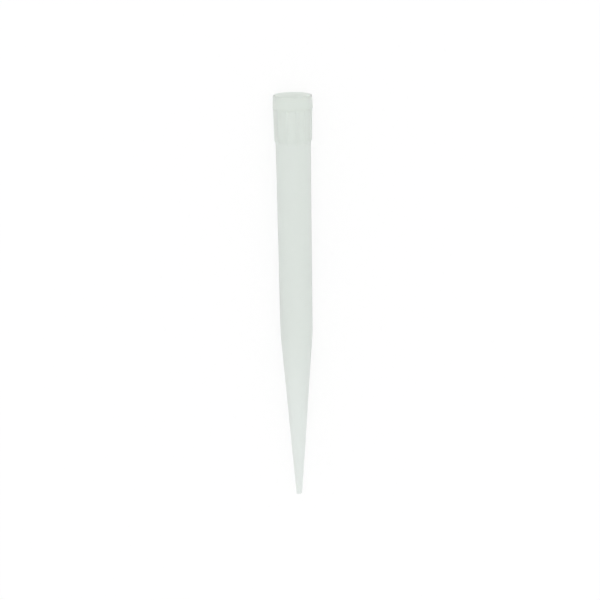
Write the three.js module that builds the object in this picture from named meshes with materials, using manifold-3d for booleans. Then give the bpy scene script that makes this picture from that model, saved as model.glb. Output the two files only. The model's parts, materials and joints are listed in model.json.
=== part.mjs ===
// A 5 ml pipette tip, moulded in one piece from natural polypropylene, lying on its side as it comes to rest.
// Millimetres, +Z up. The mouth, which takes the pipette's nozzle, faces +X and the fine end points to -X.
// "along" is a distance from the mouth down the tip's own axis, and "radius" a distance from that axis.
import * as THREE from "three";
import { mergeVertices } from "three/addons/utils/BufferGeometryUtils.js";
import Module from "manifold-3d";

const tipLength = 150;

// Barrel: the long, slightly tapered reservoir between the collar and the cone.
const barrelRadius = 6.47; // outside, where the collar ends
const barrelEnd = 88.8; // along, where the cone starts
const barrelDraft = 0.43; // degrees a side
const barrelWall = 0.8;
const kneeRound = 55; // radius of the soft bend from barrel to cone

// Cone and fine end.
const endRadius = 1;
const endWall = 0.36;
const endRound = 0.12;

// Collar: the thicker, ribbed sleeve around the nozzle socket.
const collarLength = 16.75;
const collarStep = 0.36; // how far the wall between the ribs stands out from the barrel
const collarDraft = 1.2; // degrees a side, of the wall between the ribs
const shoulderLength = 1.2; // the bevel that brings the collar in to the barrel

// Plain band around the mouth, widest at its lower edge.
const bandLength = 4.9;
const bandHeight = 0.3; // how far its lower edge stands out from the wall between the ribs
const bandFlare = 2.1; // degrees a side
const bandBevel = 0.25; // length of the bevel under the band
const rimRound = 0.25;

// Ribs down the collar, from the band to the shoulder.
const ribCount = 12;
const ribPhase = 10; // degrees from the upward side to the first rib
const ribWidth = 0.7;
const ribUnderBand = 0.05; // how far a rib's crest lies under the band's widest line
const ribEndHeight = 0.24; // at the collar's end, above the wall between the ribs
const ribRound = 0.12;
const ribRoot = 0.3; // how deep a rib's foot is sunk in the wall

// Nozzle socket inside the collar, and the ledge at its foot.
const ledgeWidth = 0.28;
const ledgeBelowCollar = 0.4; // along, from the collar's end to the ledge
const socketDraft = 1.1; // degrees a side
const leadInLength = 1.1;
const leadInWidth = 0.4;

const segmentsAround = 36;
const arcSteps = 4;

const wasm = await Module();
wasm.setup();

const rise = (length, degrees) => length * Math.tan(THREE.MathUtils.degToRad(degrees));

// Radii and places that follow from the sizes above.
const shoulderEnd = collarLength + shoulderLength;
const kneeRadius = barrelRadius - rise(barrelEnd - shoulderEnd, barrelDraft);
const collarEndRadius = barrelRadius + collarStep;
const bandEnd = bandLength + bandBevel;
const collarTopRadius = collarEndRadius + rise(collarLength - bandEnd, collarDraft);
const bandRadius = collarTopRadius + bandHeight;
const rimRadius = bandRadius - rise(bandLength, bandFlare);
const ledge = collarLength + ledgeBelowCollar;
const boreAt = (along) => barrelRadius - barrelWall - rise(along - shoulderEnd, barrelDraft);
const socketFootRadius = boreAt(ledge) + ledgeWidth;
const socketMouthRadius = socketFootRadius + rise(ledge - leadInLength, socketDraft);

const corner = (along, radius, round = 0) => ({ at: new THREE.Vector2(radius, -along), round });

// The closed outline of half the section: down the bore from the mouth, and back up the outside.
const section = [
  corner(0, socketMouthRadius + leadInWidth),
  corner(leadInLength, socketMouthRadius),
  corner(ledge, socketFootRadius),
  corner(ledge + ledgeWidth, boreAt(ledge + ledgeWidth)),
  corner(barrelEnd, boreAt(barrelEnd), kneeRound - barrelWall),
  corner(tipLength, endRadius - endWall),
  corner(tipLength, endRadius, endRound),
  corner(barrelEnd, kneeRadius, kneeRound),
  corner(shoulderEnd, barrelRadius),
  corner(collarLength, collarEndRadius),
  corner(bandEnd, collarTopRadius),
  corner(bandLength, bandRadius),
  corner(0, rimRadius, rimRound),
];

// Puts an arc tangent to both sides in place of each rounded corner of a closed outline.
function roundedPoints(corners) {
  return corners.flatMap(({ at, round }, i) => {
    if (round === 0) return [at];
    const before = corners.at(i - 1).at.clone().sub(at).normalize();
    const after = corners[(i + 1) % corners.length].at.clone().sub(at).normalize();
    const halfAngle = Math.acos(before.dot(after)) / 2;
    const start = before.clone().multiplyScalar(round / Math.tan(halfAngle)).add(at);
    const bisector = before.clone().add(after).normalize();
    const centre = bisector.multiplyScalar(round / Math.sin(halfAngle)).add(at);
    const turn = (Math.PI - 2 * halfAngle) * Math.sign(after.cross(before));
    return Array.from({ length: arcSteps + 1 }, (_, step) =>
      start.clone().rotateAround(centre, (turn * step) / arcSteps),
    );
  });
}

function solidFrom(geometry) {
  const bare = geometry.clone();
  bare.deleteAttribute("normal");
  bare.deleteAttribute("uv");
  const merged = mergeVertices(bare, 1e-4);
  const vertProperties = merged.attributes.position.array;
  const triVerts = new Uint32Array(merged.index.array);
  return new wasm.Manifold(new wasm.Mesh({ numProp: 3, vertProperties, triVerts }));
}

function geometryFrom(solid) {
  const { vertProperties, triVerts } = solid.getMesh();
  const geometry = new THREE.BufferGeometry();
  geometry.setAttribute("position", new THREE.BufferAttribute(vertProperties, 3));
  geometry.setIndex(new THREE.BufferAttribute(triVerts, 1));
  return geometry;
}

// The bare moulding, turned about the Y axis with the mouth up. One flat of the turned surface faces -Z.
function turnedWall(outline) {
  const half = Math.PI / segmentsAround;
  return new THREE.LatheGeometry([...outline, outline[0]], segmentsAround, half);
}

// One rib on the +Z side: its side view, drawn like the section, given its width across the tip.
function rib() {
  const buriedTop = bandLength - ribRoot;
  const profile = new THREE.Shape([
    new THREE.Vector2(collarTopRadius - ribRoot, -buriedTop),
    new THREE.Vector2(collarEndRadius - ribRoot, -collarLength),
    new THREE.Vector2(barrelRadius - ribRoot / 2, -shoulderEnd),
    new THREE.Vector2(collarEndRadius + ribEndHeight, -collarLength),
    new THREE.Vector2(bandRadius - ribUnderBand, -bandEnd),
    new THREE.Vector2(bandRadius - ribUnderBand, -buriedTop),
  ]);
  const straightWidth = ribWidth - 2 * ribRound;
  const geometry = new THREE.ExtrudeGeometry(profile, {
    depth: straightWidth,
    bevelThickness: ribRound,
    bevelSize: ribRound,
    bevelOffset: -ribRound,
    bevelSegments: 2,
  });
  return geometry.translate(0, 0, -straightWidth / 2).rotateY(-Math.PI / 2);
}

function tipSolid(outline) {
  let solid = solidFrom(turnedWall(outline));
  for (let i = 0; i < ribCount; i += 1) {
    const turn = THREE.MathUtils.degToRad(ribPhase) + (i * 2 * Math.PI) / ribCount;
    solid = solid.add(solidFrom(rib().rotateY(turn)));
  }
  return solid;
}

// On its side the tip rests on the widest line of the band and on the first part of the barrel or cone to
// touch, which sets how far its axis leans.
function restAngle(outline) {
  const flatShare = Math.cos(Math.PI / segmentsAround);
  const angles = outline
    .filter((point) => -point.y > bandEnd)
    .map((point) => Math.atan2((bandRadius - point.x) * flatShare, -point.y - bandLength));
  return Math.min(...angles);
}

const polypropylene = new THREE.MeshStandardMaterial({ color: 0xdce2dd, roughness: 0.45, metalness: 0 });

const outline = roundedPoints(section);
const tip = new THREE.Mesh(geometryFrom(tipSolid(outline)), polypropylene);
tip.name = "pipette_tip";
tip.rotation.set(0, -restAngle(outline), -Math.PI / 2, "YXZ");

// Set down with its lowest line on the ground and the middle of its length and width at the origin.
const box = new THREE.Box3().setFromObject(tip, true);
const middle = box.getCenter(new THREE.Vector3());
tip.position.set(-middle.x, -middle.y, -box.min.z);

const part = new THREE.Group();
part.add(tip);

export default part;
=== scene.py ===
import json
import math

import bmesh
import bpy
from mathutils import Matrix, Vector


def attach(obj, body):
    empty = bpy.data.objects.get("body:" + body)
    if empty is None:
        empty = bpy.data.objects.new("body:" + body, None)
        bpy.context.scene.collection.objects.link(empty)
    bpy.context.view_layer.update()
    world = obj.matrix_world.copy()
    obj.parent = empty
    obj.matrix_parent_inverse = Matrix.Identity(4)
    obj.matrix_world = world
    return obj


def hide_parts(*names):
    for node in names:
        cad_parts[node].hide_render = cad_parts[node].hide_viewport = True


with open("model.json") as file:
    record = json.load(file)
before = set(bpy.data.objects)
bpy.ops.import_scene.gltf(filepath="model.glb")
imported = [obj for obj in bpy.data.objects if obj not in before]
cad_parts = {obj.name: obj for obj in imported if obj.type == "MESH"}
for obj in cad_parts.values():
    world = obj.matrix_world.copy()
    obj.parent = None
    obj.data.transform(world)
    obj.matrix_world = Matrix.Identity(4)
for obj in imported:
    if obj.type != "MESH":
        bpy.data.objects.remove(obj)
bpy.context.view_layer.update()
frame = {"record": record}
mm = 0.001


# helpers

def linearColor(hexColor):
    channels = [int(hexColor[i:i + 2], 16) / 255 for i in (1, 3, 5)]
    linear = []
    for channel in channels:
        if channel <= 0.04045:
            linear.append(channel / 12.92)
        else:
            linear.append(((channel + 0.055) / 1.055) ** 2.4)
    return (*linear, 1.0)


def addNode(tree, kind, settings=None, inputs=None):
    node = tree.nodes.new(kind)
    for name, value in (settings or {}).items():
        setattr(node, name, value)
    for name, value in (inputs or {}).items():
        if isinstance(value, bpy.types.NodeSocket):
            tree.links.new(value, node.inputs[name])
        else:
            node.inputs[name].default_value = value
    return node


def newMaterial(name):
    material = bpy.data.materials.new(name)
    material.use_nodes = True
    material.node_tree.nodes.clear()
    return material


def finishMaterial(tree, surface):
    addNode(tree, "ShaderNodeOutputMaterial", inputs={"Surface": surface})


# the tip's own frame: x runs down the tip from the middle of its mouth, z is its upward side

nozzleSocket = next(mount for mount in frame["record"]["mounts"] if mount["name"] == "nozzle_socket")
mouth = Vector(nozzleSocket["pos_m"])
outOfMouth = Vector(nozzleSocket["axis"]).normalized()
sideways = Vector((0, -1, 0))
upward = (-outOfMouth).cross(sideways).normalized()
tipFrame = Matrix.Translation(mouth) @ Matrix((-outOfMouth, sideways, upward)).transposed().to_4x4()


# injection moulded natural polypropylene, unfilled and undyed: milky all through, so light comes in by
# every wall and is spread, with the resin's own faint grey-green, which shows more where the wall is
# thicker, under a satin skin from the blasted mould

polypropylene = {
    "thickColor": "#EEF2EE",
    "thinColor": "#F5F8F6",
    "hazeColor": "#F0F3F1",
    "haze": 0.2,  # share of the haze's colour in its densest streaks
    "hazeRange": (0.3, 0.7),  # of the streaks' noise, from clear to dense
    "hazeWidth": 2.5,  # mm across a flow streak
    "hazeStretch": 9,  # streaks run down the tip, as the melt did
    "hazeDetail": 3,
    "hazeBreakup": 0.55,
    "wallStops": [  # (mm from the mouth, share of the thin wall's colour)
        (0, 0), (4.9, 0.02), (8, 0.22), (16.75, 0.28), (18, 0.5), (88.8, 0.54), (115, 0.94), (150, 1),
    ],
    "transmission": 0.62,
    "ior": 1.06,  # inside the wall light meets only the small step between crystals and resin
    "roughness": 0.75,  # the haze inside the wall blurs more than its surface does
    "roughnessSpread": 0.04,
    "gloss": 0.8,  # the moulded skin
    "glossRoughness": 0.4,
    "glossIor": 1.49,  # polypropylene's own
    "grain": 0.35,  # mm, blasted mould texture, drawn about five times as coarse as it is so that it shows
    "grainDetail": 2,
    "grainHeight": 0.004,  # mm
}


def naturalPolypropylene(look):
    material = newMaterial("natural_polypropylene_moulded")
    tree = material.node_tree
    place = addNode(tree, "ShaderNodeTexCoord").outputs["Object"]
    fromMouth = addNode(tree, "ShaderNodeMapping", {"vector_type": "TEXTURE"}, {
        "Vector": place,
        "Location": mouth,
        "Rotation": (0, 0, math.pi),
    })
    down = addNode(tree, "ShaderNodeSeparateXYZ", inputs={"Vector": fromMouth.outputs["Vector"]})
    wallEnd = look["wallStops"][-1][0]
    share = addNode(tree, "ShaderNodeMapRange", inputs={
        "Value": down.outputs["X"],
        "From Max": wallEnd * mm,
    })
    thinness = addNode(tree, "ShaderNodeValToRGB", inputs={"Fac": share.outputs["Result"]})
    stops = thinness.color_ramp.elements
    for along, _ in look["wallStops"][1:-1]:
        stops.new(along / wallEnd)
    for stop, (_, level) in zip(stops, look["wallStops"]):
        stop.color = (level, level, level, 1)
    wall = addNode(tree, "ShaderNodeMix", {"data_type": "RGBA"}, {
        "Factor": thinness.outputs["Color"],
        6: linearColor(look["thickColor"]),
        7: linearColor(look["thinColor"]),
    })
    alongFlow = addNode(tree, "ShaderNodeMapping", inputs={
        "Vector": place,
        "Scale": (1 / look["hazeStretch"], 1, 1),
    })
    streaks = addNode(tree, "ShaderNodeTexNoise", inputs={
        "Vector": alongFlow.outputs["Vector"],
        "Scale": 1 / (look["hazeWidth"] * mm),
        "Detail": look["hazeDetail"],
        "Roughness": look["hazeBreakup"],
    })
    density = addNode(tree, "ShaderNodeMapRange", inputs={
        "Value": streaks.outputs["Fac"],
        "From Min": look["hazeRange"][0],
        "From Max": look["hazeRange"][1],
        "To Max": look["haze"],
    })
    tint = addNode(tree, "ShaderNodeMix", {"data_type": "RGBA"}, {
        "Factor": density.outputs["Result"],
        6: wall.outputs[2],
        7: linearColor(look["hazeColor"]),
    })
    blur = addNode(tree, "ShaderNodeMapRange", inputs={
        "Value": streaks.outputs["Fac"],
        "To Min": look["roughness"] - look["roughnessSpread"],
        "To Max": look["roughness"] + look["roughnessSpread"],
    })
    grain = addNode(tree, "ShaderNodeTexNoise", inputs={
        "Vector": place,
        "Scale": 1 / (look["grain"] * mm),
        "Detail": look["grainDetail"],
    })
    bump = addNode(tree, "ShaderNodeBump", inputs={
        "Height": grain.outputs["Fac"],
        "Distance": look["grainHeight"] * mm,
    })
    shader = addNode(tree, "ShaderNodeBsdfPrincipled", inputs={
        "Base Color": tint.outputs[2],
        "Roughness": blur.outputs["Result"],
        "Normal": bump.outputs["Normal"],
        "IOR": look["ior"],
        "Transmission Weight": look["transmission"],
        "Coat Weight": look["gloss"],
        "Coat Roughness": look["glossRoughness"],
        "Coat IOR": look["glossIor"],
    })
    finishMaterial(tree, shader.outputs["BSDF"])
    return material


# the moulding, in millimetres and degrees: along the tip from its mouth, and out from its axis

tip = {
    "length": 150,
    "barrelRadius": 6.47,  # outside, where the collar ends
    "barrelEnd": 88.8,  # where the cone starts
    "barrelDraft": 0.43,
    "barrelWall": 0.8,
    "kneeRound": 55,  # radius of the soft bend from barrel to cone
    "endRadius": 1.0,
    "endWall": 0.36,
    "endRound": 0.12,
    "collarLength": 16.75,
    "collarStep": 0.36,  # how far the wall between the ribs stands out from the barrel
    "collarDraft": 1.2,
    "shoulderLength": 1.2,
    "bandLength": 4.9,
    "bandHeight": 0.3,  # how far its lower edge stands out from that wall
    "bandFlare": 2.1,
    "bandBevel": 0.25,
    "rimRound": 0.25,
    "leadInLength": 1.1,
    "leadInWidth": 0.4,
    "socketDraft": 1.1,
    "ledgeWidth": 0.28,
    "ledgeBelowCollar": 0.4,
    "bandRound": 0.18,  # the band's lower edge
    "edgeRound": 0.08,  # every other moulded edge
    "ribs": 12,
    "firstRib": 10,  # from the upward side
    "ribWidth": 0.7,
    "ribFlank": 0.2,
    "ribUnderBand": 0.05,  # how far a rib's crest lies under the band's widest line
    "ribEndHeight": 0.24,  # at the collar's end
    "stepLength": 3.0,  # longest face down the tip
    "edgeSteps": 4,  # faces across a rounded edge
    "ribSteps": 3,  # faces across a rib's crest and each of its flanks
    "wallSteps": 12,  # faces from rib to rib
}


def rise(length, degrees):
    return length * math.tan(math.radians(degrees))


def tipSection(form):
    shoulderEnd = form["collarLength"] + form["shoulderLength"]
    collarEnd = form["barrelRadius"] + form["collarStep"]
    bandEnd = form["bandLength"] + form["bandBevel"]
    collarTop = collarEnd + rise(form["collarLength"] - bandEnd, form["collarDraft"])
    band = collarTop + form["bandHeight"]
    knee = form["barrelRadius"] - rise(form["barrelEnd"] - shoulderEnd, form["barrelDraft"])
    coneSlope = (knee - form["endRadius"]) / (form["length"] - form["barrelEnd"])
    bend = math.atan(coneSlope) - math.radians(form["barrelDraft"])
    kneeReach = form["kneeRound"] * math.tan(bend / 2)  # along each side of the bend
    ledge = form["collarLength"] + form["ledgeBelowCollar"]

    def bore(along):
        return form["barrelRadius"] - form["barrelWall"] - rise(along - shoulderEnd, form["barrelDraft"])

    socketFoot = bore(ledge) + form["ledgeWidth"]
    socketMouth = socketFoot + rise(ledge - form["leadInLength"], form["socketDraft"])
    return [  # (along, radius, rounding), down the bore and back up the outside
        (0, socketMouth + form["leadInWidth"], form["edgeRound"]),
        (form["leadInLength"], socketMouth, form["edgeRound"]),
        (ledge, socketFoot, form["edgeRound"]),
        (ledge + form["ledgeWidth"], bore(ledge + form["ledgeWidth"]), form["edgeRound"]),
        (form["barrelEnd"], bore(form["barrelEnd"]), kneeReach),
        (form["length"], form["endRadius"] - form["endWall"], form["edgeRound"]),
        (form["length"], form["endRadius"], form["endRound"]),
        (form["barrelEnd"], knee, kneeReach),
        (shoulderEnd, form["barrelRadius"], form["edgeRound"]),
        (form["collarLength"], collarEnd, form["edgeRound"]),
        (bandEnd, collarTop, form["bandRound"]),
        (form["bandLength"], band, form["bandRound"]),
        (0, band - rise(form["bandLength"], form["bandFlare"]), form["rimRound"]),
    ]


def ribHeight(form, along):
    bandEnd = form["bandLength"] + form["bandBevel"]
    shoulderEnd = form["collarLength"] + form["shoulderLength"]
    crest = [  # (along, height over the wall between the ribs)
        (form["bandLength"], 0),
        (bandEnd, form["bandHeight"] - form["ribUnderBand"]),
        (form["collarLength"], form["ribEndHeight"]),
        (shoulderEnd, 0),
    ]
    for (start, startHeight), (end, endHeight) in zip(crest, crest[1:]):
        if start < along <= end:
            return startHeight + (endHeight - startHeight) * (along - start) / (end - start)
    return 0


def tipMoulding(form):
    bm = bmesh.new()
    section = tipSection(form)
    corners = [bm.verts.new((along, 0, radius)) for along, radius, _ in section]
    for corner, nextCorner in zip(corners, corners[1:] + corners[:1]):
        bm.edges.new((corner, nextCorner))
    for corner, (_, _, rounding) in zip(corners, section):
        bmesh.ops.bevel(bm, geom=[corner], offset=rounding, segments=form["edgeSteps"], profile=0.5,
                        affect="VERTICES", material=-1)
    for edge in [edge for edge in bm.edges if edge.calc_length() > form["stepLength"]]:
        cuts = math.ceil(edge.calc_length() / form["stepLength"]) - 1
        bmesh.ops.subdivide_edges(bm, edges=[edge], cuts=cuts)
    print("section drawn,", len(bm.verts), "points")

    # turned in stages, so that faces meet on each rib's edges, and closed by merging first and last ring
    pitch = 360 / form["ribs"]
    flank = math.degrees(form["ribFlank"] / form["barrelRadius"])
    crest = math.degrees(form["ribWidth"] / form["barrelRadius"]) - 2 * flank
    stages = [  # (degrees, steps)
        (flank, form["ribSteps"]),
        (crest, form["ribSteps"]),
        (flank, form["ribSteps"]),
        (pitch - crest - 2 * flank, form["wallSteps"]),
    ]
    ring = bm.verts[:] + bm.edges[:]
    axle = {"cent": (0, 0, 0), "axis": (1, 0, 0)}
    start = Matrix.Rotation(math.radians(crest / 2 + flank - form["firstRib"]), 3, "X")
    bmesh.ops.rotate(bm, verts=bm.verts, cent=axle["cent"], matrix=start)
    for _ in range(form["ribs"]):
        for angle, steps in stages:
            turned = bmesh.ops.spin(bm, geom=ring, angle=-math.radians(angle), steps=steps,
                                    use_merge=False, use_duplicate=False, **axle)
            ring = turned["geom_last"]
    bmesh.ops.remove_doubles(bm, verts=bm.verts, dist=0.001)

    # ribs: the collar's outside is lifted along each one, with flanks that blend into the wall
    for vert in bm.verts:
        out = Vector((0, vert.co.y, vert.co.z))
        height = ribHeight(form, vert.co.x)
        if height == 0 or out.length < form["barrelRadius"] - form["edgeRound"]:
            continue
        angle = math.degrees(math.atan2(vert.co.y, vert.co.z)) - form["firstRib"]
        offCentre = abs((angle + pitch / 2) % pitch - pitch / 2)
        share = min(max((crest / 2 + flank - offCentre) / flank, 0), 1)
        vert.co += out.normalized() * height * share * share * (3 - 2 * share)  # soft at foot and crest
    bmesh.ops.recalc_face_normals(bm, faces=bm.faces)
    # the spin leaves no fixed order, so one is set and every run writes the same mesh
    sweep = Vector((1, 0.1, 0.01))
    bm.verts.sort(key=lambda vert: vert.co.dot(sweep))
    bm.faces.sort(key=lambda face: face.calc_center_median().dot(sweep))
    bm.transform(tipFrame @ Matrix.Scale(mm, 4))
    mesh = bpy.data.meshes.new("tip_moulding")
    bm.to_mesh(mesh)
    bm.free()
    mesh.shade_smooth()
    mesh.materials.append(naturalPolypropylene(polypropylene))
    piece = bpy.data.objects.new("tip_moulding", mesh)
    bpy.context.scene.collection.objects.link(piece)
    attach(piece, "root")
    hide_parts("pipette_tip")
    print("moulding turned,", len(mesh.polygons), "faces")
    return piece


moulding = tipMoulding(tip)


# pale studio floor, light and camera

studio = {
    "floorSize": 8.0,  # m
    "floorColor": "#FFFFFF",
    "floorShine": 0.8,  # share of plain white seen in the floor, the rest takes light and shadow
    "worldColor": "#FFFFFF",
    "worldLight": 0.95,  # what falls on the tip and the floor, while plain white is seen
    "keyPower": 2.0,  # W
    "keySize": 1.2,  # m
    "keyPlace": (0.1, 0.0, 1.5),  # m
}


def addMath(tree, operation, a, b):
    node = addNode(tree, "ShaderNodeMath", {"operation": operation})
    for socket, value in zip(node.inputs, (a, b)):
        if isinstance(value, bpy.types.NodeSocket):
            tree.links.new(value, socket)
        else:
            socket.default_value = value
    return node.outputs[0]


# 1 for a ray that shows a surface, straight, mirrored or through the tip, and 0 for one that lights it
def seenRays(tree):
    path = addNode(tree, "ShaderNodeLightPath")
    direct = addMath(tree, "MAXIMUM", path.outputs["Is Camera Ray"], path.outputs["Is Glossy Ray"])
    return addMath(tree, "MAXIMUM", direct, path.outputs["Is Transmission Ray"])


def studioFloor(setup):
    bm = bmesh.new()
    bmesh.ops.create_grid(bm, x_segments=1, y_segments=1, size=setup["floorSize"] / 2)
    lowest = min(vert.co.z for vert in moulding.data.vertices)
    bmesh.ops.translate(bm, verts=bm.verts, vec=(0, 0, lowest))
    mesh = bpy.data.meshes.new("studio_floor")
    bm.to_mesh(mesh)
    bm.free()
    floor = bpy.data.objects.new("studio_floor", mesh)
    bpy.context.scene.collection.objects.link(floor)
    material = newMaterial("matt_white_board")
    tree = material.node_tree
    board = addNode(tree, "ShaderNodeBsdfDiffuse", inputs={"Color": linearColor(setup["floorColor"])})
    white = addNode(tree, "ShaderNodeEmission")
    share = addMath(tree, "MULTIPLY", seenRays(tree), setup["floorShine"])
    both = addNode(tree, "ShaderNodeMixShader", inputs={"Fac": share})
    tree.links.new(board.outputs[0], both.inputs[1])
    tree.links.new(white.outputs[0], both.inputs[2])
    finishMaterial(tree, both.outputs[0])
    mesh.materials.append(material)


def studioLight(setup):
    world = bpy.data.worlds.new("studio")
    bpy.context.scene.world = world
    world.use_nodes = True
    tree = world.node_tree
    tree.nodes.clear()
    strength = addMath(tree, "MAXIMUM", seenRays(tree), setup["worldLight"])
    sky = addNode(tree, "ShaderNodeBackground", inputs={
        "Color": linearColor(setup["worldColor"]),
        "Strength": strength,
    })
    addNode(tree, "ShaderNodeOutputWorld", inputs={"Surface": sky.outputs[0]})
    lamp = bpy.data.lights.new("key", "AREA")
    lamp.energy = setup["keyPower"]
    lamp.size = setup["keySize"]
    key = bpy.data.objects.new("key", lamp)
    key.location = setup["keyPlace"]
    key.rotation_euler = (-Vector(setup["keyPlace"])).to_track_quat("-Z", "Y").to_euler()
    bpy.context.scene.collection.objects.link(key)


shot = {
    "lens": 600,  # mm
    "aboveSquare": 10.4,  # degrees towards the mouth from square on to the tip
    "lean": 1.0,  # degrees, the mouth end towards the left
    "frameWidth": 222.2,  # mm across the picture at the tip
    "aimAlong": 76.9,  # mm from the mouth
    "aimAside": 1.48,  # mm to the right of the tip's axis
}


def shotCamera(setup):
    data = bpy.data.cameras.new("camera")
    data.lens = setup["lens"]
    above = math.radians(setup["aboveSquare"])
    lean = math.radians(setup["lean"])
    back = outOfMouth * math.sin(above) + upward * math.cos(above)
    level = (outOfMouth - back * outOfMouth.dot(back)).normalized()
    right = level.cross(back)
    up = level * math.cos(lean) + right * math.sin(lean)
    right = up.cross(back)
    distance = setup["frameWidth"] * mm * setup["lens"] / data.sensor_width
    aim = mouth - outOfMouth * setup["aimAlong"] * mm + right * setup["aimAside"] * mm
    camera = bpy.data.objects.new("camera", data)
    camera.matrix_world = Matrix.Translation(aim + back * distance) @ Matrix(
        (right, up, back)).transposed().to_4x4()
    bpy.context.scene.collection.objects.link(camera)
    bpy.context.scene.camera = camera


studioFloor(studio)
studioLight(studio)
shotCamera(shot)
bpy.context.scene.view_settings.view_transform = "Standard"
print("studio set")
